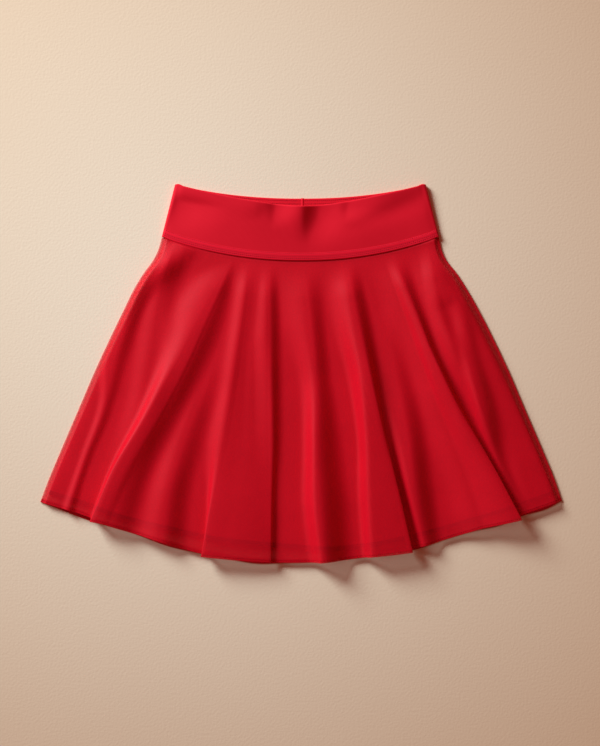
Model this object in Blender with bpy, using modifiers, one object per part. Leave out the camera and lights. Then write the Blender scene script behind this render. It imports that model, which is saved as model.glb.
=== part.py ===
"""Skater skirt laid flat: a wide knit waistband, a sheer flared skirt and a knit lining inside it.

Metres, +Z up. X runs across the skirt, +Y points to the waist and Z stands up from the surface it lies on.
The origin lies on that surface, in the middle of the skirt's outline.
"""
from collections import namedtuple

import bmesh
import bpy
import numpy as np

MM = 0.001

# Driving dimensions, all in millimetres
WALL = 1.2          # wall of the sheer net and of the lining
BAND_WALL = 2.0     # the waistband is knit folded double
GAP = 0.3           # between two pieces that lie on each other
SEAM_GAP = 0.6      # between the waistband's lower edge and the skirt sewn to it, 0.3 where the walls slope
TOP_HALF = 150.0    # half the flat width of the waistband's top edge
BAND_LEFT_OUT = 1.2 # how much further out its left side lies
SEAM_HALF = 166.2   # half the flat width of the waist seam
HEM_HALF = 313.8    # half the flat width of the hem
TOP_CORNER_Y = 228.0
BACK_TOP_SAG = 17.0
FRONT_TOP_SAG = 27.0
SEAM_MIDDLE_Y = 136.2
SEAM_SAG = 28.4
SEAM_CURVE = 2.1        # powers of the curves along the waist seam and the two top edges
BACK_TOP_CURVE = 2.2
FRONT_TOP_CURVE = 1.5
STRIP_WIDTH = 8.0   # the coverstitched strip along the waistband's lower edge
STRIP_WALL = 1.0
STRIP_SET = 0.6     # the strip starts this far above that edge
LINING_INSET = 10.0  # the lining is this much narrower at each side
SIDE_RISE = 7.0     # over which the front climbs from the side edge onto the lining
LOFT = 0.5          # the net stands this much clear of the lining between its folds
BAND_LIFT = 1.4     # how far the waistband's front lies above its side edges, over the skirt's layers
BAND_PUFF = 3.4     # how far it stands up further in the middle of its top edge
LOW_PUFF = 0.35     # share of that puff that the band's lower edge has
BAND_ENDS = 8       # power that keeps that lift flat across and drops it at the two sides
FOLDS_GROW = 0.13        # share of the way down over which the folds grow to their height
FULL_TUCK_HEIGHT = 12.0  # a fold this high is tucked under by its full amount, a lower one by less
FLANK_OF_TUCK = 0.65     # share of the tucked cloth that lies in the flank
THIN_FLANK = 2.0         # no flank shows narrower than this
HOLLOW_FALL = 1.3        # power that flattens the foot of every right flank
SIDE_CALM = 8.0          # the folds die out over this width at each side
TOP_SPREAD = 16.0        # least width over which a fold's slope and crown act
CELL = 7.0          # spacing of the front's columns at the hem, between its crisp flanks
FLANK_CELLS = 4     # and their number on each crisp flank
BACK_COLUMNS = 49
LINING_COLUMNS = 17
ROWS = 15           # rows of each layer from the waist seam to the hem
TOP_ROWS_CLOSER = 0.65  # spacing of the first rows, as a share of even spacing
BAND_ROWS = 9       # rows of the waistband's front
BAND_COLUMNS = 61
BAND_BACK_ROWS = 3
BAND_BACK_COLUMNS = 33

# Upper faces of the four layers of the skirt, one on another
OUTER_BACK_TOP = WALL
LINING_BACK_TOP = OUTER_BACK_TOP + GAP + WALL
LINING_FRONT_TOP = LINING_BACK_TOP + GAP + WALL
OUTER_FRONT_TOP = LINING_FRONT_TOP + GAP + WALL + LOFT

# The hem's line: distance across from the middle, and place along Y
Spot = namedtuple("Spot", "across y")
HEM = (
    Spot(-313.8, -154.0), Spot(-270.0, -166.5), Spot(-225.6, -183.0), Spot(-170.0, -200.5),
    Spot(-121.2, -215.5), Spot(-60.0, -224.5), Spot(7.0, -226.5), Spot(66.0, -221.5),
    Spot(130.8, -210.5), Spot(195.0, -192.0), Spot(254.4, -172.5), Spot(313.8, -152.0),
)

# How much shorter the lining is than the net over it
Shorter = namedtuple("Shorter", "across by")
LINING_SHORTER = (
    Shorter(-313.8, 12.0), Shorter(-207.0, 13.0), Shorter(-121.0, 19.0), Shorter(-20.0, 18.0),
    Shorter(50.0, 12.0), Shorter(131.0, 12.5), Shorter(209.0, 11.0), Shorter(313.8, 10.0),
)

# How far each side bows out from a straight line between the waist seam and the hem
Bow = namedtuple("Bow", "down left right")
BOWS = (
    Bow(0.0, 1.2, 0.0), Bow(0.05, -1.4, -4.0), Bow(0.08, -1.2, -4.2), Bow(0.14, 3.6, 1.5),
    Bow(0.19, 5.8, 4.2), Bow(0.28, 6.7, 7.1), Bow(0.4, 7.4, 8.6), Bow(0.5, 7.3, 8.8),
    Bow(0.64, 5.7, 7.0), Bow(0.82, 3.7, 5.0), Bow(0.92, 2.2, 3.2), Bow(1.0, 0.0, 0.0),
)

# Where the back's hem shows beyond the front's
Peek = namedtuple("Peek", "across half drop")
BACK_HEM_PEEKS = (
    Peek(-262.0, 36.0, 4.5), Peek(-164.0, 30.0, 3.5), Peek(-55.0, 28.0, 3.0),
    Peek(141.0, 20.0, 2.5), Peek(241.0, 26.0, 4.5), Peek(292.0, 20.0, 4.0),
)

# The front's folds, left to right. A fold is a raised stretch between two edges, from the seam to the hem.
# Its sizes stand at six places down from the seam, a fifth of the way apart.
# left, right: where its edges show, across the skirt. high: its height at its left edge.
# rise, fall: width of its left and right flank as they show.
# slope: height at its right edge as a share of that at its left.
# crown: how far its top rounds down towards its edges, as a share of its height.
# hollow: power that flattens the foot of its left flank.
# tuck_left, tuck_right: how far the cloth is folded under an edge at the hem.
# crisp: the flanks that turn sharply, where the cloth's points gather.
Fold = namedtuple("Fold", "name left right high rise fall slope crown hollow tuck_left tuck_right crisp")
FOLD_PLACES = (0.0, 0.2, 0.4, 0.6, 0.8, 1.0)
FOLDS = (
    Fold("side tuck", (-180, -209, -231, -236, -259, -282), (-150, -197, -219, -235, -259, -279),
         (8, 6.5, 4, 2.5, 2, 2.5), (30, 28, 24, 12, 9, 8), (41, 24, 19, 13, 9, 9),
         1.0, 0.00, 1.3, 0, 0, "none"),
    Fold("side swell", (-151, -170, -182, -195, -219, -246), (-151, -165, -170, -183, -210, -239),
         (3.5, 2.5, 3.5, 3.5, 1.5, 0), (16, 21, 23, 23, 25, 27), (13, 19, 28, 24, 14, 6),
         0.9, 0.05, 1.3, 0, 0, "none"),
    Fold("left flap", (-81, -119, -151, -186, -223, -251), (-81, -110, -139, -172, -208, -236),
         (1.5, 8.5, 13, 11.5, 12.5, 16.5), (70, 45, 17, 8, 5, 4), (6, 24, 29, 30, 42, 62),
         0.9, 0.05, 1.3, 8, 0, "left"),
    Fold("low ridge", (-64, -90, -113, -138, -158, -172), (-64, -88, -108, -135, -156, -167),
         (0, 1, 3, 4.5, 8.5, 12), (13, 19, 24, 32, 34, 40), (15, 22, 29, 29, 30, 34),
         1.0, 0.01, 1.3, 0, 0, "none"),
    Fold("box flap", (-59, -67, -76, -88, -105, -119), (-40, -39, -39, -38, -37, -37),
         (5.5, 9, 11.5, 12, 11, 12.5), (18, 23, 33, 35, 14, 2), (15, 18, 20, 19, 11, 8),
         0.8, 0.20, 1.3, 12, 9, "both"),
    Fold("box groove", (-50, -57, -62, -66, -74, -82), (-50, -57, -57, -57, -53, -45),
         (-2.5, -5, -6.5, -5, -2, -4.5), (19, 23, 26, 32, 38, 43), (14, 18, 22, 26, 34, 41),
         1.0, 0.03, 1.3, 0, 0, "none"),
    Fold("centre ridge", (1, 6, 16, 16, 17, 25), (2, 11, 17, 17, 21, 27),
         (1.5, 6, 8, 14, 16.5, 14), (67, 50, 29, 21, 23, 22), (23, 22, 24, 36, 41, 39),
         1.0, 0.01, 2.6, 0, 0, "none"),
    Fold("right flap", (53, 62, 73, 78, 81, 85), (54, 67, 82, 99, 117, 133),
         (5.5, 11, 16.5, 17.5, 16.5, 12.5), (35, 30, 20, 12, 14, 13), (16, 21, 17, 9, 2, 3),
         0.9, 0.03, 1.3, 0, 16, "right"),
    Fold("inner ridge", (70, 82, 96, 117, 131, 148), (89, 99, 112, 126, 135, 149),
         (0, 0, 3, 8, 11.5, 7.5), (20, 28, 34, 27, 14, 10), (21, 23, 24, 26, 28, 22),
         1.0, 0.01, 1.3, 0, 0, "none"),
    Fold("far flap", (104, 129, 152, 172, 197, 219), (105, 130, 160, 193, 230, 263),
         (4, 8, 9, 8, 7.5, 7.5), (42, 38, 32, 30, 34, 40), (23, 18, 14, 9, 3, 2),
         2.2, 0.23, 1.3, 0, 18, "right"),
    Fold("upper swell", (147, 154, 176, 207, 235, 268), (147, 164, 185, 212, 235, 268),
         (4, 7, 7, 4, 4.5, 2.5), (32, 24, 18, 12, 8, 7), (19, 35, 36, 24, 12, 10),
         2.0, 0.20, 1.3, 0, 0, "none"),
    Fold("boundary", (170, 187, 199, 212, 237, 270), (170, 188, 202, 220, 240, 271),
         (0, 0, 4, 9, 5, 2), (18, 17, 14, 8, 8, 8), (11, 12, 13, 19, 22, 23),
         1.0, 0.00, 1.3, 0, 0, "none"),
    Fold("edge swell", (164, 187, 215, 237, 260, 280), (165, 191, 222, 252, 280, 305),
         (0, 4, 6, 5, 3.5, 2.5), (26, 25, 22, 21, 20, 21), (9, 9, 10, 10, 8, 8),
         0.8, 0.05, 1.3, 0, 0, "none"),
)

# Soft creases pressed into the front of the waistband, from (x, y) to (x, y), deepest at the first
Crease = namedtuple("Crease", "x y to_x to_y half depth")
CREASE_BEFORE = 0.2  # how far a crease runs on behind its first point, as a share of its length
CREASE_TAPER = 0.5   # share of its half width that it has lost at the other
BAND_CREASES = (
    Crease(13.0, 203.0, 6.0, 168.0, 9.0, 4.4),
    Crease(-38.0, 203.0, -40.0, 182.0, 6.0, 2.4),
    Crease(130.0, 201.0, 96.0, 170.0, 9.0, 1.6),
    Crease(-148.0, 217.0, -106.0, 205.0, 7.0, 1.2),
)


def table(rows, column):
    """One column of a table of named rows."""
    return np.array([getattr(row, column) for row in rows], float)


def curve(at, knots, values):
    """A smooth line through the values at the knots, read at one place or many."""
    knots = np.asarray(knots, float)
    values = np.asarray(values, float)
    slopes = np.gradient(values, knots)
    i = np.clip(np.searchsorted(knots, at) - 1, 0, len(knots) - 2)
    step = knots[i + 1] - knots[i]
    t = np.clip((at - knots[i]) / step, 0, 1)
    start = (1 + 2 * t) * (1 - t) ** 2 * values[i] + t * (1 - t) ** 2 * step * slopes[i]
    end = t * t * (3 - 2 * t) * values[i + 1] - t * t * (1 - t) * step * slopes[i + 1]
    return start + end


def ease(t):
    """Climbs softly from 0 to 1 as t does."""
    return 0.5 - 0.5 * np.cos(np.pi * np.clip(t, 0, 1))


def row_ends(down):
    """The two ends of a row of the skirt, down from the seam at 0 to the hem at 1."""
    straight = SEAM_HALF + (HEM_HALF - SEAM_HALF) * down
    left = -straight - curve(down, table(BOWS, "down"), table(BOWS, "left"))
    right = straight + curve(down, table(BOWS, "down"), table(BOWS, "right"))
    return left, right


def seam_y(share):
    """The waist seam sags between its ends. share runs from 0 at its left end to 1."""
    return SEAM_MIDDLE_Y + SEAM_SAG * np.abs(2 * share - 1) ** SEAM_CURVE


def hem_y(share):
    return curve((2 * share - 1) * HEM_HALF, table(HEM, "across"), table(HEM, "y"))


def fold_at(fold, down):
    """A fold's shoulders, flanks, height and tucks on one row."""
    left, right, high, rise, fall = (curve(down, FOLD_PLACES, sizes) for sizes in fold[1:6])
    high *= ease(down / FOLDS_GROW)
    tucked = down * np.clip(high / FULL_TUCK_HEIGHT, 0, 1)
    tuck_left, tuck_right = fold.tuck_left * tucked, fold.tuck_right * tucked
    left += tuck_left
    right = max(right - tuck_right, left + 1)
    rise = max(rise, THIN_FLANK) + FLANK_OF_TUCK * tuck_left
    fall = max(fall, THIN_FLANK) + FLANK_OF_TUCK * tuck_right
    return left, right, rise, fall, high, tuck_left, tuck_right


def lift(across, down):
    """How far the folds move a row's points sideways and up. They die out at the row's two ends."""
    sideways = np.zeros_like(across)
    up = np.zeros_like(across)
    for fold in FOLDS:
        left, right, rise, fall, high, tuck_left, tuck_right = fold_at(fold, down)
        bump = ease((across - left + rise) / rise) ** fold.hollow
        bump *= (1 - ease((across - right) / fall)) ** HOLLOW_FALL
        over = np.clip((across - left) / (right - left), 0, 1)
        sideways += ((tuck_left + tuck_right) * over - tuck_left) * bump
        spread = np.clip((across - (left + right) / 2) / max(right - left, TOP_SPREAD) + 0.5, 0, 1)
        rounded = 1 - fold.crown * (2 * spread - 1) ** 2
        up += high * (1 + (fold.slope - 1) * spread) * rounded * bump
    start, end = row_ends(down)
    calm = ease(np.minimum(across - start, end - across) / SIDE_CALM)
    return sideways * calm, np.maximum(up, 0) * calm


def anchors(down):
    """Places across a row that the cloth's columns keep to: the two side rises and the crisp flanks."""
    left, right = row_ends(down)
    places = [left, left + SIDE_RISE]
    for fold in FOLDS:
        start, end, rise, fall = fold_at(fold, down)[:4]
        if fold.crisp in ("left", "both"):
            places += [start - rise, start]
        if fold.crisp in ("right", "both"):
            places += [end, end + fall]
    places += [right - SIDE_RISE, right]
    places[2:-2] = np.clip(places[2:-2], places[1] + 1, places[-2] - 1)
    return np.maximum.accumulate(places)


def gather(down):
    """Places of a row's points, as many between two anchors on every row, so that columns follow folds."""
    hem = anchors(1.0)
    row = anchors(down)
    across = [row[:1]]
    for i in range(len(row) - 1):
        flank = i % 2 == 0
        cells = FLANK_CELLS if flank else max(1, round((hem[i + 1] - hem[i]) / CELL))
        across.append(np.linspace(row[i], row[i + 1], cells + 1)[1:])
    return np.concatenate(across)


def panel(count, top, inset=0.0, shorter=None, peeks=()):
    """The upper face of one layer of the skirt, as rows of points from the waist seam to the hem.

    With no count it is the folded front, whose columns follow its folds.
    """
    side_top = OUTER_BACK_TOP + GAP + WALL
    face = []
    for step in np.linspace(0, 1, ROWS):
        down = TOP_ROWS_CLOSER * step + (1 - TOP_ROWS_CLOSER) * step * step
        left, right = row_ends(down)
        across = gather(down) if count is None else np.linspace(left + inset, right - inset, count)
        share = (across - left) / (right - left)
        at_hem = (2 * share - 1) * HEM_HALF
        hem = hem_y(share) - sum(p.drop * np.exp(-((at_hem - p.across) / p.half) ** 2) for p in peeks)
        if shorter is not None:
            hem = hem + curve(at_hem, table(shorter, "across"), table(shorter, "by"))
        seam = seam_y(share) - SEAM_GAP
        y = seam + (hem - seam) * down
        z = np.full_like(across, top)
        if count is None:
            sideways, up = lift(across, down)
            from_side = np.minimum(across - left, right - across)
            z = side_top + (top - side_top) * ease(from_side / SIDE_RISE) + up
            across = across + sideways
        face.append(np.stack([across, y, z], axis=1))
    return face


def pressed(x, y, creases):
    """Depth of the creases at a point."""
    depth = 0.0
    for c in creases:
        run = np.array([c.to_x - c.x, c.to_y - c.y])
        along = np.clip(((x - c.x) * run[0] + (y - c.y) * run[1]) / (run @ run), -CREASE_BEFORE, 1)
        off = np.hypot(x - c.x - along * run[0], y - c.y - along * run[1])
        width = c.half * (1 - CREASE_TAPER * np.clip(along, 0, 1))
        depth = depth + c.depth * (1 - np.clip(along, 0, 1)) * np.exp(-(off / width) ** 2)
    return depth


def band(count, rows, sag, power, front=False):
    """The upper face of one side of the waistband, from its lower edge to its top edge."""
    face = []
    side = np.linspace(-1, 1, count)
    for up in np.linspace(0, 1, rows):
        x = side * (SEAM_HALF + (TOP_HALF - SEAM_HALF) * up) - BAND_LEFT_OUT * ease(-side)
        low = seam_y((side + 1) / 2)
        high = TOP_CORNER_Y - sag * (1 - np.abs(side) ** power)
        y = low + (high - low) * up
        z = np.full_like(x, BAND_WALL)
        if front:
            puff = BAND_PUFF * (1 - side ** 2) * (LOW_PUFF + (1 - LOW_PUFF) * up)
            between = 1 - side ** BAND_ENDS
            z += GAP + BAND_WALL + puff + (BAND_LIFT - pressed(x, y, BAND_CREASES)) * between
        face.append(np.stack([x, y, z], axis=1))
    return face


def band_back():
    return band(BAND_BACK_COLUMNS, BAND_BACK_ROWS, BACK_TOP_SAG, BACK_TOP_CURVE)


def band_front():
    return band(BAND_COLUMNS, BAND_ROWS, FRONT_TOP_SAG, FRONT_TOP_CURVE, front=True)


def seam_strip():
    """The upper face of the strip on the waistband's lower edge, made from the band's points, moved out."""
    rows = band_front()
    low, second, high = rows[0], rows[1], rows[-1]
    height = high[:, 1] - low[:, 1]
    face = []
    for up in (STRIP_SET, STRIP_SET + STRIP_WIDTH / 2, STRIP_SET + STRIP_WIDTH):
        share = (up / height)[:, None]
        point = low + (high - low) * share
        slope = (second[:, 2] - low[:, 2]) / (second[:, 1] - low[:, 1])
        point[:, 2] = low[:, 2] + slope * up + GAP + STRIP_WALL
        face.append(point)
    return face


def remove_all():
    for item in list(bpy.data.objects):
        bpy.data.objects.remove(item, do_unlink=True)


def fabric(name, colour, roughness):
    material = bpy.data.materials.new(name)
    material.use_nodes = True
    shader = material.node_tree.nodes["Principled BSDF"]
    shader.inputs["Base Color"].default_value = (*colour, 1)
    shader.inputs["Roughness"].default_value = roughness
    shader.inputs["Metallic"].default_value = 0.0
    return material


def cloth(name, face, wall, material, collection):
    """Joins rows of points into an open sheet and gives it its wall, downwards."""
    shape = bmesh.new()
    grid = [[shape.verts.new(point * MM) for point in row] for row in face]
    downwards = face[-1][0][1] < face[0][0][1]
    for row, after in zip(grid, grid[1:]):
        for i in range(len(row) - 1):
            corners = (row[i], after[i], after[i + 1], row[i + 1])
            shape.faces.new(corners if downwards else corners[::-1])
    mesh = bpy.data.meshes.new(name)
    shape.to_mesh(mesh)
    shape.free()
    mesh.shade_smooth()
    mesh.materials.append(material)
    item = bpy.data.objects.new(name, mesh)
    collection.objects.link(item)
    thick = item.modifiers.new("wall", "SOLIDIFY")
    thick.thickness = wall * MM
    thick.offset = -1
    thick.use_even_offset = True
    return item


def build():
    remove_all()
    collection = bpy.data.collections.new("skater_skirt")
    bpy.context.scene.collection.children.link(collection)
    band_knit = fabric("band_knit", (0.62, 0.012, 0.025), 0.75)
    net = fabric("sheer_net", (0.66, 0.010, 0.022), 0.6)
    lining_knit = fabric("lining_knit", (0.50, 0.006, 0.015), 0.8)

    skirt_back = panel(BACK_COLUMNS, OUTER_BACK_TOP, peeks=BACK_HEM_PEEKS)
    lining_back = panel(LINING_COLUMNS, LINING_BACK_TOP, LINING_INSET, LINING_SHORTER)
    lining_front = panel(LINING_COLUMNS, LINING_FRONT_TOP, LINING_INSET, LINING_SHORTER)

    cloth("waistband_back", band_back(), BAND_WALL, band_knit, collection)
    cloth("waistband_front", band_front(), BAND_WALL, band_knit, collection)
    cloth("waist_seam_strip", seam_strip(), STRIP_WALL, band_knit, collection)
    cloth("skirt_back", skirt_back, WALL, net, collection)
    cloth("lining_back", lining_back, WALL, lining_knit, collection)
    cloth("lining_front", lining_front, WALL, lining_knit, collection)
    cloth("skirt_front", panel(None, OUTER_FRONT_TOP), WALL, net, collection)


build()
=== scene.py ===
"""A skater skirt laid flat: a sheer net skirt over a knit lining, on a wide knit waistband.

Metres, +Z up. X runs across the skirt and +Y points to the waist. The cloth's sizes are in millimetres, and
MM makes them metres. "Across" is along X, and "down" runs from 0 at the waist seam to 1 at the hem.
"""
import math
from collections import namedtuple

import bpy
import numpy as np
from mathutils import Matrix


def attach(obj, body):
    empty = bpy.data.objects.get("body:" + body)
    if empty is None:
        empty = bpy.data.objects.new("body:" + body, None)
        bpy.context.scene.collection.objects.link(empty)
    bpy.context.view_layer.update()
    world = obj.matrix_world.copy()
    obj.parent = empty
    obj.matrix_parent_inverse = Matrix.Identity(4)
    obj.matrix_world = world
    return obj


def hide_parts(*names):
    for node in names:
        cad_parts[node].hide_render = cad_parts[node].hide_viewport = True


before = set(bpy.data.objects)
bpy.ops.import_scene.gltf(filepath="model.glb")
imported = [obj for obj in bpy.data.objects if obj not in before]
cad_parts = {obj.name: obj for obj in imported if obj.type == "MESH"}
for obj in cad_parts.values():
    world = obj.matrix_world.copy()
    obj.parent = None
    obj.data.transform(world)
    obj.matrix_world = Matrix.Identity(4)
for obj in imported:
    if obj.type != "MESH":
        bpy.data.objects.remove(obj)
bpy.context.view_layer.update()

MM = 0.001

# The sheer skirt
# A flared tube of fine knitted net, cut as two ring segments joined at the sides, with a narrow turned hem.
# Laid down, its back is flat on the surface, and its front falls in the folds of the hem's extra cloth.
NET_WALL = 0.3
SEAM_HALF = 166.2        # half the flat width of the waist seam
HEM_HALF = 313.8         # half the flat width of the hem
SEAM_MIDDLE_Y = 136.2
SEAM_SAG = 28.4          # how much lower the seam is in the middle than at its ends
SEAM_CURVE = 2.1         # power of that sag
SEAM_GAP = 0.6           # between the waistband's lower edge and the net under its strip
NET_TOP = 6.2            # upper face of the front, between its folds
SIDE_TOP = 2.7           # and at the two sides, where it turns down to the back
SIDE_RISE = 7.0          # over which the front climbs from the side to the lining
FOLDS_GROW = 0.13        # share of the way down over which the folds grow to their height
FULL_TUCK_HEIGHT = 12.0  # a fold this high is tucked under by its full amount, a lower one by less
FLANK_OF_TUCK = 0.65     # share of the tucked cloth that lies in the flank
THIN_FLANK = 2.0         # no flank shows narrower than this
HOLLOW_FALL = 1.3        # power that flattens the foot of every right flank
SIDE_CALM = 8.0          # the folds die out over this width at each side
TOP_SPREAD = 16.0        # least width over which a fold's slope and crown act
NET_ROWS = 84
TOP_ROWS_CLOSER = 0.65   # spacing of the first rows, as a share of an even one
NET_CELL = 2.8           # spacing of the front's columns at the hem, between its crisp flanks
FLANK_CELLS = 9          # and their number on each crisp flank
NET_BACK_COLUMNS = 110
TURN_POINTS = 5          # points of the half-round turn at each side
HEM_TURN_RADIUS = 0.4
HEM_TURN_MIDDLE = 2.0    # a ring of points half way up the turned hem
HEM_TURN_DEPTH = 4.5     # and its edge
DRAWN_OVER = 12.0        # the sides draw in over this width, by the radius of their turn

# The front's hem
Spot = namedtuple("Spot", "across y")
HEM = (
    Spot(-313.8, -154.0), Spot(-270.0, -166.5), Spot(-225.6, -183.0), Spot(-170.0, -200.5),
    Spot(-121.2, -215.5), Spot(-60.0, -224.5), Spot(7.0, -226.5), Spot(66.0, -221.5),
    Spot(130.8, -210.5), Spot(195.0, -192.0), Spot(254.4, -172.5), Spot(313.8, -152.0),
)

# How far each side bows out from a straight line between the waist seam and the hem
Bow = namedtuple("Bow", "down left right")
BOWS = (
    Bow(0.0, 1.2, 0.0), Bow(0.05, -1.4, -4.0), Bow(0.08, -1.2, -4.2), Bow(0.14, 3.6, 1.5),
    Bow(0.19, 5.8, 4.2), Bow(0.28, 6.7, 7.1), Bow(0.4, 7.4, 8.6), Bow(0.5, 7.3, 8.8),
    Bow(0.64, 5.7, 7.0), Bow(0.82, 3.7, 5.0), Bow(0.92, 2.2, 3.2), Bow(1.0, 0.0, 0.0),
)

# Where the back's hem shows beyond the front's
Peek = namedtuple("Peek", "across half drop")
BACK_HEM_PEEKS = (
    Peek(-262.0, 36.0, 4.5), Peek(-164.0, 30.0, 3.5), Peek(-55.0, 28.0, 3.0),
    Peek(141.0, 20.0, 2.5), Peek(241.0, 26.0, 4.5), Peek(292.0, 20.0, 4.0),
)

# The front's folds, left to right. A fold is a raised stretch between two edges, from the seam to the hem.
# Its sizes stand at six places down from the seam, a fifth of the way apart.
# left, right: where its edges show, across the skirt. high: its height at its left edge.
# rise, fall: width of its left and right flank as they show.
# slope: height at its right edge as a share of that at its left.
# crown: how far its top rounds down towards its edges, as a share of its height.
# hollow: power that flattens the foot of its left flank.
# tuck_left, tuck_right: how far the cloth is folded under an edge at the hem.
# crisp: the flanks that turn sharply, where the cloth's points gather.
Fold = namedtuple("Fold", "name left right high rise fall slope crown hollow tuck_left tuck_right crisp")
FOLD_PLACES = (0.0, 0.2, 0.4, 0.6, 0.8, 1.0)
FOLDS = (
    Fold("side tuck", (-180, -209, -231, -236, -259, -282), (-150, -197, -219, -235, -259, -279),
         (8, 6.5, 4, 3, 2.5, 3), (30, 25, 16, 8, 6, 5), (41, 24, 19, 13, 9, 9),
         1.0, 0.00, 1.3, 0, 0, "none"),
    Fold("side swell", (-151, -170, -182, -195, -219, -246), (-151, -165, -170, -183, -210, -239),
         (3.5, 2.5, 3.5, 3.5, 1.5, 0), (16, 21, 23, 23, 25, 27), (13, 19, 28, 24, 14, 6),
         0.9, 0.05, 1.3, 0, 0, "none"),
    Fold("left flap", (-81, -119, -151, -186, -223, -251), (-81, -110, -139, -172, -208, -236),
         (1.5, 8, 12.5, 11.5, 12.5, 15), (70, 50, 27, 15, 9, 6), (6, 24, 29, 30, 42, 62),
         0.9, 0.05, 1.3, 8, 0, "left"),
    Fold("low ridge", (-64, -90, -113, -138, -158, -172), (-64, -88, -108, -135, -156, -167),
         (0, 1, 3, 4.5, 8, 9.5), (13, 19, 24, 32, 34, 40), (15, 22, 29, 29, 30, 34),
         1.0, 0.01, 1.3, 0, 0, "none"),
    Fold("box flap", (-59, -67, -76, -88, -105, -119), (-40, -39, -39, -38, -37, -37),
         (5.5, 9, 11.5, 12, 11.5, 16), (18, 23, 33, 35, 14, 2), (15, 18, 20, 19, 11, 8),
         0.8, 0.20, 1.3, 12, 9, "both"),
    Fold("box groove", (-50, -57, -62, -66, -74, -82), (-50, -57, -57, -57, -53, -45),
         (-2.5, -5, -6.5, -5, -2, -4.5), (19, 23, 26, 32, 38, 43), (14, 18, 22, 26, 34, 41),
         1.0, 0.03, 1.3, 0, 0, "none"),
    Fold("centre ridge", (1, 6, 16, 16, 17, 25), (2, 11, 17, 17, 21, 27),
         (1.5, 6, 8, 14, 17, 17.5), (67, 50, 29, 21, 23, 22), (23, 22, 24, 36, 41, 39),
         1.0, 0.01, 2.6, 0, 0, "none"),
    Fold("right flap", (53, 62, 73, 78, 81, 85), (54, 67, 82, 99, 117, 133),
         (3.5, 10.5, 16.5, 17.5, 17, 15), (35, 30, 20, 12, 14, 13), (16, 21, 17, 9, 2, 3),
         0.9, 0.03, 1.3, 0, 16, "right"),
    Fold("inner ridge", (70, 82, 96, 117, 131, 148), (89, 99, 112, 126, 135, 149),
         (0, 0, 3, 8, 11.5, 7.5), (20, 28, 34, 27, 14, 10), (21, 23, 24, 26, 28, 22),
         1.0, 0.01, 1.3, 0, 0, "none"),
    Fold("far flap", (104, 129, 152, 172, 197, 219), (105, 130, 160, 193, 230, 263),
         (1.5, 6.5, 8.5, 8, 8.5, 9.5), (42, 38, 32, 30, 34, 40), (23, 18, 14, 9, 3, 2),
         2.2, 0.23, 1.3, 0, 18, "right"),
    Fold("upper swell", (147, 154, 176, 207, 235, 268), (147, 164, 185, 212, 235, 268),
         (1.5, 5.5, 6.5, 3.5, 2, 1), (32, 24, 18, 12, 8, 7), (19, 35, 36, 24, 12, 10),
         2.0, 0.20, 1.3, 0, 0, "none"),
    Fold("boundary", (170, 187, 199, 212, 237, 270), (170, 188, 202, 220, 240, 271),
         (0, 0, 4, 9, 3, 0), (18, 17, 14, 8, 8, 8), (11, 12, 13, 19, 22, 23),
         1.0, 0.00, 1.3, 0, 0, "none"),
    Fold("edge swell", (164, 187, 215, 237, 260, 280), (165, 191, 222, 252, 280, 305),
         (0, 4, 6, 5, 3.5, 2.5), (26, 25, 22, 21, 20, 21), (9, 9, 10, 10, 8, 8),
         0.8, 0.05, 1.3, 0, 0, "none"),
)


def table(rows, column):
    """One column of a table of named rows."""
    return np.array([getattr(row, column) for row in rows], float)


def curve(at, knots, values):
    """A smooth line through the values at the knots, read at one place or many."""
    knots = np.asarray(knots, float)
    values = np.asarray(values, float)
    slopes = np.gradient(values, knots)
    i = np.clip(np.searchsorted(knots, at) - 1, 0, len(knots) - 2)
    step = knots[i + 1] - knots[i]
    t = np.clip((at - knots[i]) / step, 0, 1)
    start = (1 + 2 * t) * (1 - t) ** 2 * values[i] + t * (1 - t) ** 2 * step * slopes[i]
    end = t * t * (3 - 2 * t) * values[i + 1] - t * t * (1 - t) * step * slopes[i + 1]
    return start + end


def ease(t):
    """Climbs softly from 0 to 1 as t does."""
    return 0.5 - 0.5 * np.cos(np.pi * np.clip(t, 0, 1))


def row_ends(down):
    """The two ends of a row of the skirt, down from the seam at 0 to the hem at 1."""
    straight = SEAM_HALF + (HEM_HALF - SEAM_HALF) * down
    left = -straight - curve(down, table(BOWS, "down"), table(BOWS, "left"))
    right = straight + curve(down, table(BOWS, "down"), table(BOWS, "right"))
    return left, right


def seam_y(share):
    """The waist seam sags between its ends. share runs from 0 at its left end to 1."""
    return SEAM_MIDDLE_Y + SEAM_SAG * np.abs(2 * share - 1) ** SEAM_CURVE


def hem_y(share):
    return curve((2 * share - 1) * HEM_HALF, table(HEM, "across"), table(HEM, "y"))


def fold_at(fold, down):
    """A fold's shoulders, flanks, height and tucks on one row."""
    left, right, high, rise, fall = (curve(down, FOLD_PLACES, sizes) for sizes in fold[1:6])
    high *= ease(down / FOLDS_GROW)
    tucked = down * np.clip(high / FULL_TUCK_HEIGHT, 0, 1)
    tuck_left, tuck_right = fold.tuck_left * tucked, fold.tuck_right * tucked
    left += tuck_left
    right = max(right - tuck_right, left + 1)
    rise = max(rise, THIN_FLANK) + FLANK_OF_TUCK * tuck_left
    fall = max(fall, THIN_FLANK) + FLANK_OF_TUCK * tuck_right
    return left, right, rise, fall, high, tuck_left, tuck_right


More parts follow.
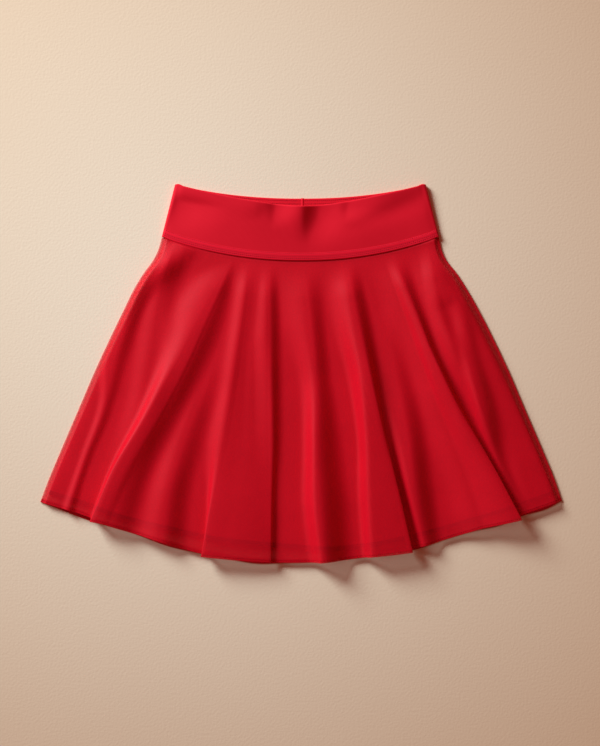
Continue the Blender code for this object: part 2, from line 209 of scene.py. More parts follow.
def lift(across, down):
    """How far the folds move a row's points sideways and up. They die out at the row's two ends."""
    sideways = np.zeros_like(across)
    up = np.zeros_like(across)
    for fold in FOLDS:
        left, right, rise, fall, high, tuck_left, tuck_right = fold_at(fold, down)
        bump = ease((across - left + rise) / rise) ** fold.hollow
        bump *= (1 - ease((across - right) / fall)) ** HOLLOW_FALL
        over = np.clip((across - left) / (right - left), 0, 1)
        sideways += ((tuck_left + tuck_right) * over - tuck_left) * bump
        spread = np.clip((across - (left + right) / 2) / max(right - left, TOP_SPREAD) + 0.5, 0, 1)
        rounded = 1 - fold.crown * (2 * spread - 1) ** 2
        up += high * (1 + (fold.slope - 1) * spread) * rounded * bump
    start, end = row_ends(down)
    calm = ease(np.minimum(across - start, end - across) / SIDE_CALM)
    return sideways * calm, np.maximum(up, 0) * calm


def anchors(down):
    """Places across a row that the cloth's columns keep to: the two side rises and the crisp flanks."""
    left, right = row_ends(down)
    places = [left, left + SIDE_RISE]
    for fold in FOLDS:
        start, end, rise, fall = fold_at(fold, down)[:4]
        if fold.crisp in ("left", "both"):
            places += [start - rise, start]
        if fold.crisp in ("right", "both"):
            places += [end, end + fall]
    places += [right - SIDE_RISE, right]
    places[2:-2] = np.clip(places[2:-2], places[1] + 1, places[-2] - 1)
    return np.maximum.accumulate(places)


def gather(down):
    """Places of a row's points, as many between two anchors on every row, so that columns follow folds."""
    hem = anchors(1.0)
    row = anchors(down)
    across = [row[:1]]
    for i in range(len(row) - 1):
        flank = i % 2 == 0
        cells = FLANK_CELLS if flank else max(1, round((hem[i + 1] - hem[i]) / NET_CELL))
        across.append(np.linspace(row[i], row[i + 1], cells + 1)[1:])
    return np.concatenate(across)


def downs(rows):
    """How far down each row lies, with closer rows near the waist."""
    step = np.linspace(0, 1, rows)
    return TOP_ROWS_CLOSER * step + (1 - TOP_ROWS_CLOSER) * step * step


# Soft creases across the folds, from one point to another, deepest at the first. A ridge's is below 0.
# left and right are their half widths on the two sides, as one looks along them.
Crease = namedtuple("Crease", "x y to_x to_y left right depth")
CREASE_BEFORE = 0.2      # share of its length that a crease keeps its depth before its first point
CREASE_TAPER = 0.45      # how much narrower it is at its last point
NET_CREASES = (
    Crease(-147.0, 138.0, -183.0, 86.0, 12.0, 14.0, -3.4),
    Crease(-124.0, 126.0, -172.0, 52.0, 16.0, 14.0, 2.2),
    Crease(178.0, 70.0, 190.0, 34.0, 9.0, 12.0, 2.6),
)


def pressed(x, y, creases):
    """Depth of the creases at a point."""
    depth = 0.0
    for c in creases:
        run = np.array([c.to_x - c.x, c.to_y - c.y])
        along = np.clip(((x - c.x) * run[0] + (y - c.y) * run[1]) / (run @ run), -CREASE_BEFORE, 1)
        off = np.hypot(x - c.x - along * run[0], y - c.y - along * run[1])
        turn = run[0] * (y - c.y) - run[1] * (x - c.x)
        width = np.where(turn > 0, c.left, c.right) * (1 - CREASE_TAPER * np.clip(along, 0, 1))
        depth = depth + c.depth * ease(1 - along) * np.exp(-(off / width) ** 2)
    return depth


def net_front():
    """The front's outer face, row by row from the waist seam to the hem."""
    face = []
    for down in downs(NET_ROWS):
        left, right = row_ends(down)
        across = gather(down)
        share = (across - left) / (right - left)
        seam = seam_y(share) - SEAM_GAP
        y = seam + (hem_y(share) - seam) * down
        sideways, up = lift(across, down)
        from_side = np.minimum(across - left, right - across)
        calm = ease(from_side / SIDE_RISE)
        up = np.maximum(up - pressed(across, y, NET_CREASES) * calm, 0)
        z = SIDE_TOP + (NET_TOP - SIDE_TOP) * calm + up
        face.append(np.stack([across + sideways, y, z], axis=1))
    return np.array(face)


def net_back():
    """The back's outer face, which lies on the surface."""
    face = []
    for down in downs(NET_ROWS):
        left, right = row_ends(down)
        share = np.linspace(0, 1, NET_BACK_COLUMNS)
        at_hem = (2 * share - 1) * HEM_HALF
        hem = hem_y(share)
        for peek in BACK_HEM_PEEKS:
            hem -= peek.drop * np.exp(-((at_hem - peek.across) / peek.half) ** 2)
        seam = seam_y(share) - SEAM_GAP
        y = seam + (hem - seam) * down
        x = left + (right - left) * share
        face.append(np.stack([x, y, np.zeros_like(x)], axis=1))
    return np.array(face)


def half_round(start, end, side):
    """The turn of the cloth at a side, from the front's end to the back's, as points between the two."""
    points = []
    for angle in np.linspace(0, np.pi, TURN_POINTS + 2)[1:-1]:
        radius = (start[:, 2] - end[:, 2]) / 2
        along = (1 - np.cos(angle)) / 2
        point = start + (end - start) * along
        point[:, 0] += side * radius * np.sin(angle)
        point[:, 2] = end[:, 2] + radius * (1 + np.cos(angle))
        points.append(point)
    return np.stack(points, axis=1)


def tube(front, back):
    """Rings of points round a piece that is laid flat: its front, a turn, its back and a turn.

    The two faces draw in at the sides by the turn's radius, so that the turn keeps to the outline.
    """
    radius = (front[:, :1, 2] - back[:, :1, 2]) / 2
    faces = []
    for face in (front, back):
        face = face.copy()
        from_left = face[..., 0] - face[:, :1, 0]
        from_right = face[:, -1:, 0] - face[..., 0]
        face[..., 0] += radius * (ease(from_right / DRAWN_OVER) - ease(from_left / DRAWN_OVER))
        faces.append(face)
    front, back = faces
    right = half_round(front[:, -1], back[:, -1], 1)
    left = half_round(front[:, 0], back[:, 0], -1)[:, ::-1]
    return np.concatenate([front, right, back[:, ::-1], left], axis=1)


def outwards(rings):
    """The unit normals of rings of points, away from the inside of the tube."""
    around = np.roll(rings, -1, axis=1) - np.roll(rings, 1, axis=1)
    along = np.gradient(rings, axis=0)
    normal = np.cross(along, around)
    return normal / np.linalg.norm(normal, axis=2, keepdims=True)


def inside_edge(rings, normals, distance, depth):
    """The ring at a distance from the last one, back along the cloth, moved inwards by a depth."""
    passed = 0.0
    for i in range(len(rings) - 1, 0, -1):
        step = np.linalg.norm(rings[i] - rings[i - 1], axis=1, keepdims=True)
        if passed + step.mean() >= distance:
            share = np.clip((distance - passed) / step, 0, 1)
            point = rings[i] + (rings[i - 1] - rings[i]) * share
            normal = normals[i] + (normals[i - 1] - normals[i]) * share
            return point - normal * depth
        passed += step.mean()
    return rings[0] - normals[0] * depth


def turn_in(rings, radius, depths):
    """Adds the rings of an edge that is folded to the inside round a small radius."""
    normals = outwards(rings)
    edge = rings[-1]
    onwards = edge - rings[-2]
    onwards /= np.linalg.norm(onwards, axis=1, keepdims=True)
    kept = rings.copy()
    kept[-1] = edge - onwards * radius
    folded = []
    for angle in np.radians((45, 90, 135, 180)):
        ahead = onwards * radius * np.sin(angle)
        inwards = normals[-1] * radius * (1 - np.cos(angle))
        folded.append(kept[-1] + ahead - inwards)
    for depth in depths:
        folded.append(inside_edge(kept, normals, depth, 2 * radius))
    return np.concatenate([kept, folded])


LEAST_SPREAD = 0.05      # angle of the flattest ring segment that a piece is cut as


def flat_places(rings):
    """The points of a flared tube on its flat cut, a ring segment, with the first column again last."""
    closed = np.concatenate([rings, rings[:, :1]], axis=1)
    around = np.linalg.norm(np.diff(closed, axis=1), axis=2)
    around = np.concatenate([np.zeros((len(rings), 1)), np.cumsum(around, axis=1)], axis=1)
    along = np.linalg.norm(np.diff(rings, axis=0), axis=2).mean(axis=1)
    along = np.concatenate([[0], np.cumsum(along)])
    spread = max(LEAST_SPREAD, (around[-1, -1] - around[0, -1]) / along[-1])
    radius = around[0, -1] / spread + along[:, None]
    angle = spread * (around / around[:, -1:] - 0.5)
    return np.stack([radius * np.sin(angle), -radius * np.cos(angle)], axis=2)


def sewn(name, rings, wall, finish, edge=-1, closed=True):
    """Makes a cloth of rings of points, with its flat cut as its UV map and its wall on the inside.

    from_edge holds each point's distance along the cloth from the ring that is its lower or upper edge, and
    from_left its distance from the ring's left end.
    """
    rows, count = rings.shape[:2]
    cells = count if closed else count - 1
    faces = []
    places = []
    flat = flat_places(rings) * MM
    for i in range(rows - 1):
        for j in range(cells):
            after = (j + 1) % count
            above, below = i * count, (i + 1) * count
            faces.append((above + j, below + j, below + after, above + after))
            places += [flat[i, j], flat[i + 1, j], flat[i + 1, j + 1], flat[i, j + 1]]
    mesh = bpy.data.meshes.new(name)
    mesh.from_pydata((rings.reshape(-1, 3) * MM).tolist(), [], faces)
    layer = mesh.uv_layers.new(name="flat_cut")
    layer.data.foreach_set("uv", np.array(places, np.float32).ravel())
    along = np.linalg.norm(np.diff(rings, axis=0), axis=2).mean(axis=1)
    along = np.concatenate([[0], np.cumsum(along)])
    from_edge = np.repeat(np.abs(along - along[edge]), count)
    from_left = (rings[:, :, 0] - rings[:, :, 0].min(axis=1, keepdims=True)).ravel()
    for key, distances in (("from_edge", from_edge), ("from_left", from_left)):
        kept = mesh.attributes.new(key, "FLOAT", "POINT")
        kept.data.foreach_set("value", (distances * MM).astype(np.float32))
    mesh.shade_smooth()
    mesh.materials.append(finish)
    piece = bpy.data.objects.new(name, mesh)
    bpy.context.scene.collection.objects.link(piece)
    thick = piece.modifiers.new("wall", "SOLIDIFY")
    thick.thickness = wall * MM
    thick.offset = -1
    return piece


class Wire:
    """One output of a shader node. Sums of wires and numbers add Math nodes."""

    def __init__(self, socket):
        self.socket = socket

    def node(self, kind, inputs=(), output=0, **settings):
        return add_node(self.socket.id_data, kind, inputs, output, **settings)

    def math(self, operation, *values):
        return self.node("ShaderNodeMath", dict(enumerate(values)), operation=operation)

    def __add__(self, other):
        return self.math("ADD", self, other)

    def __sub__(self, other):
        return self.math("SUBTRACT", self, other)

    def __rsub__(self, other):
        return self.math("SUBTRACT", other, self)

    def __mul__(self, other):
        return self.math("MULTIPLY", self, other)

    __radd__ = __add__
    __rmul__ = __mul__

    def sine(self, waves):
        """A wave between -1 and 1, with a number of waves to a metre."""
        return self.math("SINE", self * (2 * math.pi * waves))

    def between(self, low, high):
        """This wire's stretch from low to high, made 0 to 1."""
        ends = {"Value": self, "From Min": low, "From Max": high}
        return self.node("ShaderNodeMapRange", ends, clamp=True)

    def blend(self, first, second):
        """A colour between two, the second where this wire is 1."""
        return self.node("ShaderNodeMix", {0: self, 6: first, 7: second}, output=2, data_type="RGBA")


def add_node(tree, kind, inputs=(), output=0, **settings):
    """Adds a node with its settings, gives its inputs their values or wires, and returns one output."""
    node = tree.nodes.new(kind)
    for name, value in settings.items():
        setattr(node, name, value)
    for key, value in dict(inputs).items():
        if isinstance(value, Wire):
            tree.links.new(value.socket, node.inputs[key])
        else:
            node.inputs[key].default_value = value
    return Wire(node.outputs[output])


def new_finish(name, **constants):
    """A material with its shader's constants set, and its tree and shader."""
    finish = bpy.data.materials.new(name)
    finish.use_nodes = True
    shader = finish.node_tree.nodes["Principled BSDF"]
    for key, value in constants.items():
        shader.inputs[key.replace("_", " ")].default_value = value
    return finish, finish.node_tree, shader


def drive(tree, shader, **wires):
    for key, wire in wires.items():
        tree.links.new(wire.socket, shader.inputs[key.replace("_", " ")])


NET_LIT = (0.82, 0.001, 0.014, 1)
NET_DEEP = (0.78, 0.0005, 0.012, 1)
NET_COVER = 0.50          # opacity of one face of the net, and the net has two
NET_COVER_SWING = 0.16    # how far its threads and holes swing that
NET_MESHES = 900          # meshes to a metre
NET_UNEVEN = 0.10         # how far the cover changes over the cloth
NET_SIDE_COVER = 0.18     # how much thinner it is along its left side, where the cloth is stretched flat
NET_SIDE_THIN = (3.0, 10.0)   # so thin up to the first distance from that side, no thinner past the second

net, tree, shader = new_finish("sheer_net", Roughness=0.58, Sheen_Weight=0.06, Sheen_Roughness=0.45)
shader.inputs["Sheen Tint"].default_value = (1.0, 0.2, 0.2, 1)
shader.inputs["Specular IOR Level"].default_value = 0.2
cut = add_node(tree, "ShaderNodeUVMap", uv_map="flat_cut")
across = cut.node("ShaderNodeSeparateXYZ", {0: cut})
along = cut.node("ShaderNodeSeparateXYZ", {0: cut}, output=1)
threads = (across + along).sine(NET_MESHES / 2) * (across - along).sine(NET_MESHES / 2)
place = add_node(tree, "ShaderNodeTexCoord", output=3)
cloud = cut.node("ShaderNodeTexNoise", {"Vector": place, "Scale": 22.0, "Detail": 3.0})
from_left = cut.node("ShaderNodeAttribute", output=2, attribute_name="from_left")
stretched = 1 - from_left.between(NET_SIDE_THIN[0] * MM, NET_SIDE_THIN[1] * MM)
cover = threads * NET_COVER_SWING + (cloud - 0.5) * NET_UNEVEN - stretched * NET_SIDE_COVER + NET_COVER
drive(tree, shader,
      Base_Color=cloud.between(0.3, 0.7).blend(NET_DEEP, NET_LIT),
      Alpha=cover,
      Normal=cut.node("ShaderNodeBump", {"Height": threads, "Strength": 0.25, "Distance": 0.0001}))

net_tube = tube(net_front(), net_back())
net_hemmed = turn_in(net_tube, HEM_TURN_RADIUS, (HEM_TURN_MIDDLE, HEM_TURN_DEPTH))
outer_skirt = sewn("outer_skirt_net", net_hemmed, NET_WALL, net, edge=NET_ROWS)
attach(outer_skirt, "root")
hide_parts("skirt_front", "skirt_back")

# The net's hem stitches
# One row of small stitches in red thread holds the turned hem, on the front's face and inside the back.
STITCH_PITCH = 2.4
STITCH_LENGTH = 1.7
STITCH_RADIUS = 0.27
HEM_STITCHES_UP = 3.2     # above the hem's edge
THREAD_OUT = 0.05         # how far a stitch's middle stands off the cloth
STITCH_UNEVEN = 0.12      # how far the stitches' sizes differ, either way


def stitch_tree():
    """Geometry Nodes that set a small stitch at every step along the lines of a mesh."""
    tree = bpy.data.node_groups.new("stitches_on_lines", "GeometryNodeTree")
    tree.interface.new_socket("Geometry", in_out="INPUT", socket_type="NodeSocketGeometry")
    for name in ("Pitch", "Length", "Radius", "Unevenness"):
        tree.interface.new_socket(name, in_out="INPUT", socket_type="NodeSocketFloat")
    tree.interface.new_socket("Thread", in_out="INPUT", socket_type="NodeSocketMaterial")
    tree.interface.new_socket("Geometry", in_out="OUTPUT", socket_type="NodeSocketGeometry")
    given = tree.nodes.new("NodeGroupInput")
    lines, pitch, length, radius, uneven, thread = (Wire(socket) for socket in given.outputs[:6])
    curves = add_node(tree, "GeometryNodeMeshToCurve", {"Mesh": lines})
    steps = add_node(tree, "GeometryNodeResampleCurve", {"Curve": curves, "Length": pitch}, mode="LENGTH")
    along = add_node(tree, "GeometryNodeInputTangent")
    turn = add_node(tree, "FunctionNodeAlignRotationToVector", {"Vector": along}, axis="X")
    size = add_node(tree, "ShaderNodeCombineXYZ", {0: length * 0.5, 1: radius, 2: radius})
    varied = add_node(tree, "FunctionNodeRandomValue", {2: 1 - uneven, 3: 1 + uneven, "Seed": 4}, output=1)
    size = add_node(tree, "ShaderNodeVectorMath", {0: size, "Scale": varied}, operation="SCALE")
    ball = add_node(tree, "GeometryNodeMeshUVSphere", {"Segments": 6, "Rings": 4, "Radius": 1.0})
    placed = add_node(tree, "GeometryNodeInstanceOnPoints",
                      {"Points": steps, "Instance": ball, "Rotation": turn, "Scale": size})
    real = add_node(tree, "GeometryNodeRealizeInstances", {"Geometry": placed})
    smooth = add_node(tree, "GeometryNodeSetShadeSmooth", {"Geometry": real})
    finished = add_node(tree, "GeometryNodeSetMaterial", {"Geometry": smooth, "Material": thread})
    out = tree.nodes.new("NodeGroupOutput")
    tree.links.new(finished.socket, out.inputs[0])
    return tree


def stitched(name, lines, thread, length=STITCH_LENGTH, radius=STITCH_RADIUS):
    """Rows of stitches along lines of points, as one plain mesh that rides with the skirt."""
    points = []
    joins = []
    for line in lines:
        joins += [(len(points) + i, len(points) + i + 1) for i in range(len(line) - 1)]
        points += [tuple(point * MM) for point in line]
    mesh = bpy.data.meshes.new(name + "_lines")
    mesh.from_pydata(points, joins, [])
    guide = bpy.data.objects.new(name + "_lines", mesh)
    bpy.context.scene.collection.objects.link(guide)
    sewing = guide.modifiers.new("sewing", "NODES")
    sewing.node_group = STITCHES
    given = {"Pitch": STITCH_PITCH * MM, "Length": length * MM, "Radius": radius * MM,
             "Unevenness": STITCH_UNEVEN, "Thread": thread}
    for socket in STITCHES.interface.items_tree:
        if socket.name in given:
            sewing[socket.identifier] = given[socket.name]
    made = guide.evaluated_get(bpy.context.evaluated_depsgraph_get())
    piece = bpy.data.objects.new(name, bpy.data.meshes.new_from_object(made))
    bpy.context.scene.collection.objects.link(piece)
    bpy.data.objects.remove(guide)
    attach(piece, "root")
    return piece


def new_thread(name, colour):
    """A dull thread whose colour changes a little along it."""
    thread, tree, shader = new_finish(name, Roughness=0.7)
    shader.inputs["Specular IOR Level"].default_value = 0.1
    place = add_node(tree, "ShaderNodeTexCoord", output=3)
    cloud = place.node("ShaderNodeTexNoise", {"Vector": place, "Scale": 260.0, "Detail": 2.0})
    deep = tuple(0.75 * v for v in colour[:3]) + (1,)
    drive(tree, shader, Base_Color=cloud.between(0.35, 0.65).blend(deep, colour))
    return thread


STITCHES = stitch_tree()
NET_THREAD = new_thread("net_thread", (0.40, 0.001, 0.008, 1))
front_count = len(net_front()[0])
normals = outwards(net_tube)
on_face = inside_edge(net_tube, normals, HEM_STITCHES_UP, -THREAD_OUT)[:front_count]
in_back = inside_edge(net_tube, normals, HEM_STITCHES_UP, 2 * HEM_TURN_RADIUS + THREAD_OUT)
in_back = in_back[front_count + TURN_POINTS:-TURN_POINTS]
hem_stitches = stitched("net_hem_stitches", [on_face, in_back], NET_THREAD)

# The lining
# A plainer, shorter flared tube of opaque knit inside the net, a little narrower at each side.
# Its hem is turned in, and a painted shadow along its edge shows through the net as a straight dark line.
LINING_WALL = 0.5
LINING_INSET = 10.0
LINING_BACK = 0.9         # outer face of its back, above the net's
LINING_TOP = 4.2          # outer face of its front, between the folds
LINING_SIDE_TOP = 2.4
LINING_ROWS = 60
LINING_COLUMNS = 200
LINING_BACK_COLUMNS = 70
LINING_FOLLOWS = 0.22     # share of the net's folds that it stands up with
LINING_TURN_RADIUS = 0.45
LINING_TURN_DEPTH = 7.0

# How much higher its hem lies than the net's
Shorter = namedtuple("Shorter", "across by")
LINING_SHORTER = (
    Shorter(-313.8, 12.0), Shorter(-207.0, 13.0), Shorter(-121.0, 19.0), Shorter(-20.0, 18.0),
    Shorter(50.0, 12.0), Shorter(131.0, 12.5), Shorter(209.0, 11.0), Shorter(313.8, 10.0),
)


def lining_face(columns, front):
    """One side of the lining, row by row from the waist seam to its hem."""
    face = []
    for down in downs(LINING_ROWS):
        left, right = row_ends(down)
        across = np.linspace(left + LINING_INSET, right - LINING_INSET, columns)
        share = (across - left) / (right - left)
        at_hem = (2 * share - 1) * HEM_HALF
        hem = hem_y(share) + curve(at_hem, table(LINING_SHORTER, "across"), table(LINING_SHORTER, "by"))
        seam = seam_y(share) - SEAM_GAP
        y = seam + (hem - seam) * down
        z = np.full_like(across, LINING_BACK)
        if front:
            from_side = np.minimum(across - across[0], across[-1] - across)
            raised = LINING_FOLLOWS * lift(across, down)[1]
            z = LINING_SIDE_TOP + (LINING_TOP + raised - LINING_SIDE_TOP) * ease(from_side / SIDE_RISE)
        face.append(np.stack([across, y, z], axis=1))
    return np.array(face)


LINING_LIT = (0.70, 0.001, 0.012, 1)
LINING_DEEP = (0.64, 0.001, 0.010, 1)
LINING_HEM_SHADOW = (0.02, 0.0001, 0.0004, 1)   # painted shadow along its turned and sewn edge
LINING_EDGE = 5.4         # how much of the edge has that painted shadow
LINING_EDGE_SOFT = 0.8    # and over how much that ends

lining_knit, tree, shader = new_finish("lining_knit", Roughness=0.8, Sheen_Weight=0.05)
shader.inputs["Specular IOR Level"].default_value = 0.15
place = add_node(tree, "ShaderNodeTexCoord", output=3)
cloud = place.node("ShaderNodeTexNoise", {"Vector": place, "Scale": 30.0, "Detail": 4.0})
grain = place.node("ShaderNodeTexNoise", {"Vector": place, "Scale": 900.0, "Detail": 2.0})
from_edge = place.node("ShaderNodeAttribute", output=2, attribute_name="from_edge")
# A painted shadow darkens the lining along its turned hem edge.
painted_hem_shadow = 1 - from_edge.between((LINING_EDGE - LINING_EDGE_SOFT) * MM, LINING_EDGE * MM)
plain = cloud.between(0.3, 0.7).blend(LINING_DEEP, LINING_LIT)
drive(tree, shader,
      Base_Color=painted_hem_shadow.blend(plain, LINING_HEM_SHADOW),
      Normal=place.node("ShaderNodeBump", {"Height": grain, "Strength": 0.3, "Distance": 0.0002}))

lining_rings = tube(lining_face(LINING_COLUMNS, True), lining_face(LINING_BACK_COLUMNS, False))
lining_rings = turn_in(lining_rings, LINING_TURN_RADIUS, (LINING_TURN_DEPTH / 2, LINING_TURN_DEPTH))
lining = sewn("lining", lining_rings, LINING_WALL, lining_knit, edge=LINING_ROWS)
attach(lining, "root")
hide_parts("lining_front", "lining_back")

# The waistband
# A wide band of opaque knit, cut twice as high as it shows and folded double on its top edge.
# It is laid flat as a tube, its front a little lower than its back at the top, and it isn't pressed smooth.
BAND_CLOTH = 0.9          # each of its two layers
BAND_TURN_RADIUS = 1.0    # the fold along its top edge
BAND_SIDE_TOP = 4.7       # how high its sides stand at its lower edge
BAND_SIDE_RISE = 3.0      # and how much higher at its top edge
TOP_HALF = 150.0          # half the flat width of its top edge
BAND_LEFT_OUT = 1.2       # how much further out its left side lies
TOP_CORNER_Y = 228.0
BACK_TOP_SAG = 17.0       # how much lower its top edge is in the middle, at the back
BACK_TOP_CURVE = 2.2
FRONT_TOP_SAG = 27.0      # and at the front
FRONT_TOP_CURVE = 1.5
BAND_LIFT = 1.4           # how much higher the front lies between its two sides
BAND_ENDS = 16            # power that keeps that lift and the creases off the sides
BAND_PUFF = 5.6           # how far the front's middle stands up at its top edge
LOW_PUFF = 0.12           # share of that at its lower edge
BAND_ROWS = 34
BAND_COLUMNS = 220
BAND_BACK_COLUMNS = 120

# Soft creases pressed into its front
BAND_CREASES = (
    Crease(25.0, 203.0, 8.0, 142.0, 33.0, 18.0, 6.8),
    Crease(0.0, 203.0, 1.0, 156.0, 9.0, 18.0, -2.4),
    Crease(-29.0, 203.0, -33.0, 172.0, 20.0, 10.0, 3.2),
    Crease(-56.0, 203.0, -56.0, 182.0, 12.0, 22.0, -1.4),
    Crease(58.0, 203.0, 54.0, 180.0, 26.0, 9.0, 2.2),
    Crease(133.0, 206.0, 36.0, 164.0, 14.0, 12.0, 1.7),
    Crease(-146.0, 206.0, -82.0, 195.0, 9.0, 30.0, 3.6),
)


def band_face(columns, front):
    """One side of the waistband, row by row from its lower edge to its top edge."""
    face = []
    side = np.linspace(-1, 1, columns)
    sag, power = (FRONT_TOP_SAG, FRONT_TOP_CURVE) if front else (BACK_TOP_SAG, BACK_TOP_CURVE)
    for up in np.linspace(0, 1, BAND_ROWS):
        x = side * (SEAM_HALF + (TOP_HALF - SEAM_HALF) * up) - BAND_LEFT_OUT * ease(-side)
        low = seam_y((side + 1) / 2)
        high = TOP_CORNER_Y - sag * (1 - np.abs(side) ** power)
        y = low + (high - low) * up
        z = np.zeros_like(x)
        if front:
            puff = BAND_PUFF * (1 - side ** 2) * (LOW_PUFF + (1 - LOW_PUFF) * up)
            between = 1 - side ** BAND_ENDS
            soft = (BAND_LIFT - pressed(x, y, BAND_CREASES)) * between
            z += BAND_SIDE_TOP + BAND_SIDE_RISE * up + puff + soft
        face.append(np.stack([x, y, z], axis=1))
    return np.array(face)


def folded_double(rings, radius):
    """A tube whose cloth goes over its last edge and all the way down its inside again."""
    normals = outwards(rings)
    over = turn_in(rings, radius, ())
    return np.concatenate([over, (rings - normals * 2 * radius)[:-1][::-1]])


BAND_LIT = (0.75, 0.003, 0.016, 1)
BAND_DEEP = (0.71, 0.002, 0.014, 1)
LOOPS_ACROSS = 700        # loops of the knit to a metre
LOOPS_ALONG = 900


def knit(name, lit, deep):
    """An opaque smooth knit, with its loops as a fine bump."""
    finish, tree, shader = new_finish(name, Roughness=0.7, Sheen_Weight=0.04)
    shader.inputs["Sheen Tint"].default_value = (1.0, 0.2, 0.2, 1)
    shader.inputs["Specular IOR Level"].default_value = 0.14
    cut = add_node(tree, "ShaderNodeUVMap", uv_map="flat_cut")
    across = cut.node("ShaderNodeSeparateXYZ", {0: cut})
    along = cut.node("ShaderNodeSeparateXYZ", {0: cut}, output=1)
    loops = across.sine(LOOPS_ACROSS) * 0.6 + along.sine(LOOPS_ALONG) * 0.4
    place = add_node(tree, "ShaderNodeTexCoord", output=3)
    cloud = place.node("ShaderNodeTexNoise", {"Vector": place, "Scale": 25.0, "Detail": 4.0})
    drive(tree, shader,
          Base_Color=cloud.between(0.3, 0.7).blend(deep, lit),
          Normal=cut.node("ShaderNodeBump", {"Height": loops, "Strength": 0.3, "Distance": 0.0001}))
    return finish


band_knit = knit("band_knit", BAND_LIT, BAND_DEEP)
band_rings = tube(band_face(BAND_COLUMNS, True), band_face(BAND_BACK_COLUMNS, False))[:, ::-1]
waistband = sewn("waistband", folded_double(band_rings, BAND_TURN_RADIUS), BAND_CLOTH, band_knit)
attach(waistband, "root")
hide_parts("waistband_front", "waistband_back")

# The seam and stitches inside the waistband
# Its centre-back seam and two rows of topstitching show on the inner face of the back, above the front.
SEAM_ACROSS = 1.8         # of the centre-back seam, to the right of the middle
SEAM_RIDGE = ((-1.6, 0.05), (-1.0, 0.45), (0.0, 0.65), (1.0, 0.45), (1.6, 0.05))   # across, and out
SEAM_DOWN = (-0.4, 30.0)  # from just over the top edge
SEAM_ROWS = 40
SEAM_WALL = 0.3
TOPSTITCH_DOWN = (2.6, 6.4)
TOPSTITCH_SHORT = 6.0     # the rows end so far from the sides
TOPSTITCH_POINTS = 160
# A red thread, painted much darker than the band: painted shade in the stitch holes.
BAND_THREAD_AND_SHADE = new_thread("band_thread_and_shade", (0.16, 0.001, 0.004, 1))


def inside_back(down, x):
    """A point on the inner face of the waistband's back, down from its top edge."""
    side = x / TOP_HALF
    y = TOP_CORNER_Y - BACK_TOP_SAG * (1 - np.abs(side) ** BACK_TOP_CURVE) - down
    z = BAND_TURN_RADIUS * (1 + ease((down + BAND_TURN_RADIUS) / (2 * BAND_TURN_RADIUS)))
    return np.array([x, y, z])


ridge = [[inside_back(down, SEAM_ACROSS + off) + (0, 0, out) for off, out in SEAM_RIDGE]
         for down in np.linspace(*SEAM_DOWN, SEAM_ROWS)]
centre_seam = sewn("centre_back_seam", np.array(ridge), SEAM_WALL, band_knit, closed=False)
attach(centre_seam, "root")
sewn_half = TOP_HALF - TOPSTITCH_SHORT
sewn_across = np.linspace(-sewn_half, sewn_half, TOPSTITCH_POINTS)
rows = [np.array([inside_back(down, x) + (0, 0, THREAD_OUT) for x in sewn_across])
        for down in TOPSTITCH_DOWN]
top_stitches = stitched("band_topstitches", rows, BAND_THREAD_AND_SHADE)

# The strip over the waist seam
# A raised strip of the band's knit, sewn on with two rows of coverstitch and one near its upper edge.
# It covers the waistband's lower edge, where the net and the lining are sewn on.
STRIP_HEIGHTS = (
    (-0.6, -0.6), (-0.5, 0.1), (0.2, 0.75), (1.6, 0.8), (2.4, 0.55), (3.2, 0.75), (3.8, 0.75), (4.5, 0.5),
    (5.2, 0.65), (7.2, 0.55), (7.9, 0.5), (8.4, 0.25), (8.9, 0.25), (9.1, -0.4),
)   # up from the band's lower edge, and out from its face
STRIP_STITCH_ROWS = (4, 7, 11)   # the rows above that the stitches lie in
COVERSTITCH_LENGTH = 1.3
COVERSTITCH_RADIUS = 0.42
COVERSTITCH_OUT = 0.1
STRIP_WALL = 0.5
# The strip's knit is painted lighter than the band's: a painted highlight for the light that its face
# catches.
STRIP_LIT = (0.86, 0.004, 0.022, 1)
STRIP_DEEP = (0.82, 0.003, 0.019, 1)


def seam_strip():
    """The strip's outer face, made from the waistband's front, with its ends turned down at the sides."""
    face = tube(band_face(BAND_COLUMNS, True), band_face(BAND_BACK_COLUMNS, False))
    face = np.concatenate([face[:, -1:], face[:, :BAND_COLUMNS + 1]], axis=1)
    normal = np.cross(np.gradient(face, axis=1), np.gradient(face, axis=0))
    normal /= np.linalg.norm(normal, axis=2, keepdims=True)
    length = np.linalg.norm(face[-1] - face[0], axis=1)
    rows = []
    for up, out in STRIP_HEIGHTS:
        share = (up / length)[:, None]
        row = share * (BAND_ROWS - 1)
        low = np.clip(np.floor(row).astype(int), 0, BAND_ROWS - 2)
        column = np.arange(face.shape[1])[:, None]
        start, end = face[low, column][:, 0], face[low + 1, column][:, 0]
        rows.append(start + (end - start) * (row - low) + normal[low, column][:, 0] * out)
    return np.array(rows)[:, ::-1]


strip_rows = seam_strip()
strip_knit_painted_light = knit("strip_knit_painted_light", STRIP_LIT, STRIP_DEEP)
strip = sewn("waist_seam_strip_cloth", strip_rows, STRIP_WALL, strip_knit_painted_light, closed=False)
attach(strip, "root")
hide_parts("waist_seam_strip")
rows = [strip_rows[i] + (0, 0, COVERSTITCH_OUT) for i in STRIP_STITCH_ROWS]
cover_stitches = stitched("strip_coverstitches", rows, BAND_THREAD_AND_SHADE,
                          length=COVERSTITCH_LENGTH, radius=COVERSTITCH_RADIUS)

# The surface under the skirt
# A large sheet of thick, slightly pebbled warm paper that the skirt is laid on, with a painted pool of
# light on it.
FLOOR_HALF = 3.0
FLOOR_LIT = (0.905, 0.64, 0.485, 1)
FLOOR_PAINTED_FALLOFF = (0.755, 0.445, 0.285, 1)    # painted shade: darker and warmer away from the painted pool of light
FLOOR_PAINTED_POOL = (-0.12, 0.05, 0)
FLOOR_NEAR_RADIUS = 0.12
FLOOR_FAR_RADIUS = 0.70
FLOOR_BELOW = 0.0001      # so that the skirt's underside is clear of it

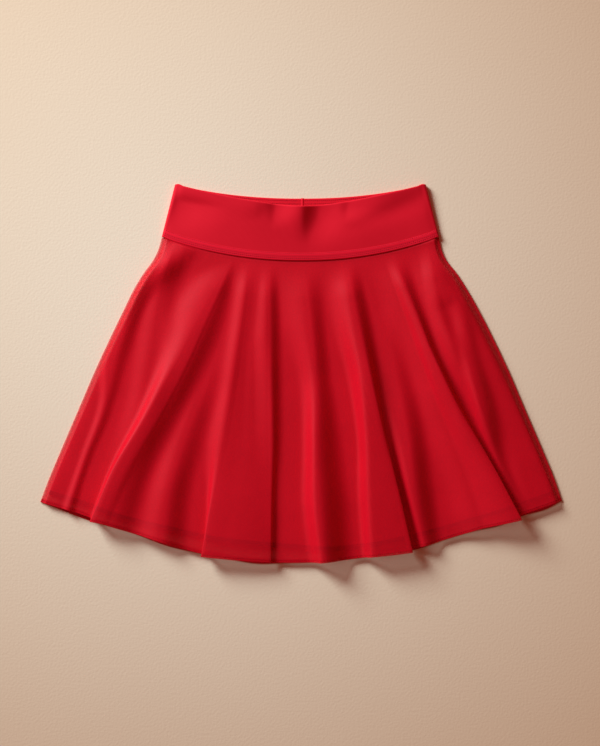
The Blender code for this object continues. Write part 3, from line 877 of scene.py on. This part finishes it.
mesh = bpy.data.meshes.new("floor")
corners = [(x * FLOOR_HALF, y * FLOOR_HALF, 0) for x, y in ((-1, -1), (1, -1), (1, 1), (-1, 1))]
mesh.from_pydata(corners, [], [(0, 1, 2, 3)])
floor = bpy.data.objects.new("floor", mesh)
bpy.context.scene.collection.objects.link(floor)
floor.location.z = -FLOOR_BELOW
paper, tree, shader = new_finish("floor_paper", Roughness=0.85)
shader.inputs["Specular IOR Level"].default_value = 0.2
place = add_node(tree, "ShaderNodeTexCoord", output=3)
mottle = place.node("ShaderNodeTexNoise", {"Vector": place, "Scale": 6.0, "Detail": 4.0})
pebble = place.node("ShaderNodeTexNoise", {"Vector": place, "Scale": 330.0, "Detail": 3.0})
# A painted pool of light: the paper's colour darkens and warms with distance from its middle.
away = place.node("ShaderNodeVectorMath", {0: place, 1: FLOOR_PAINTED_POOL}, output=1, operation="DISTANCE")
away = away.between(FLOOR_NEAR_RADIUS, FLOOR_FAR_RADIUS)
drive(tree, shader,
      Base_Color=(away + (mottle - 0.5) * 0.06).blend(FLOOR_LIT, FLOOR_PAINTED_FALLOFF),
      Normal=place.node("ShaderNodeBump", {"Height": pebble, "Strength": 0.3, "Distance": 0.0006}))
mesh.materials.append(paper)

# Light and camera
# One broad soft light stands low at the upper left, and a little warm light comes back from all round.
KEY_DISTANCE = 3.6
KEY_TOWARDS = (-0.647, 0.624, 0.438)
KEY_SIZE = 1.4
KEY_SPREAD = 68.0         # degrees that its light fans out over
KEY_POWER = 42.8
KEY_COLOUR = (0.66, 0.93, 1.0)
ROOM_COLOUR = (1.0, 0.32, 0.21)
ROOM_STRENGTH = 0.2

key_data = bpy.data.lights.new("key", "AREA")
key_data.size = KEY_SIZE
key_data.spread = math.radians(KEY_SPREAD)
key_data.energy = KEY_POWER
key_data.color = KEY_COLOUR
key = bpy.data.objects.new("key", key_data)
bpy.context.scene.collection.objects.link(key)
key.location = [KEY_DISTANCE * v for v in KEY_TOWARDS]
key.rotation_mode = "QUATERNION"
key.rotation_quaternion = key.location.to_track_quat("Z", "Y")

room = bpy.data.worlds.new("room")
room.use_nodes = True
room.node_tree.nodes["Background"].inputs["Color"].default_value = (*ROOM_COLOUR, 1)
room.node_tree.nodes["Background"].inputs["Strength"].default_value = ROOM_STRENGTH
bpy.context.scene.world = room
bpy.context.scene.view_settings.view_transform = "Standard"

# The camera looks straight down on the middle of the photograph's frame.
VIEW_LENGTH = 0.8952      # of the surface that the frame's long side takes in
VIEW_MIDDLE = (-0.0012, 0.0012)
VIEW_LEVEL = 0.006        # height at which that length is measured
LENS = 85.0
SENSOR = 36.0
camera_data = bpy.data.cameras.new("camera")
camera_data.lens = LENS
camera_data.sensor_width = SENSOR
camera = bpy.data.objects.new("camera", camera_data)
bpy.context.scene.collection.objects.link(camera)
camera.location = (*VIEW_MIDDLE, VIEW_LENGTH * LENS / SENSOR + VIEW_LEVEL)
bpy.context.scene.camera = camera
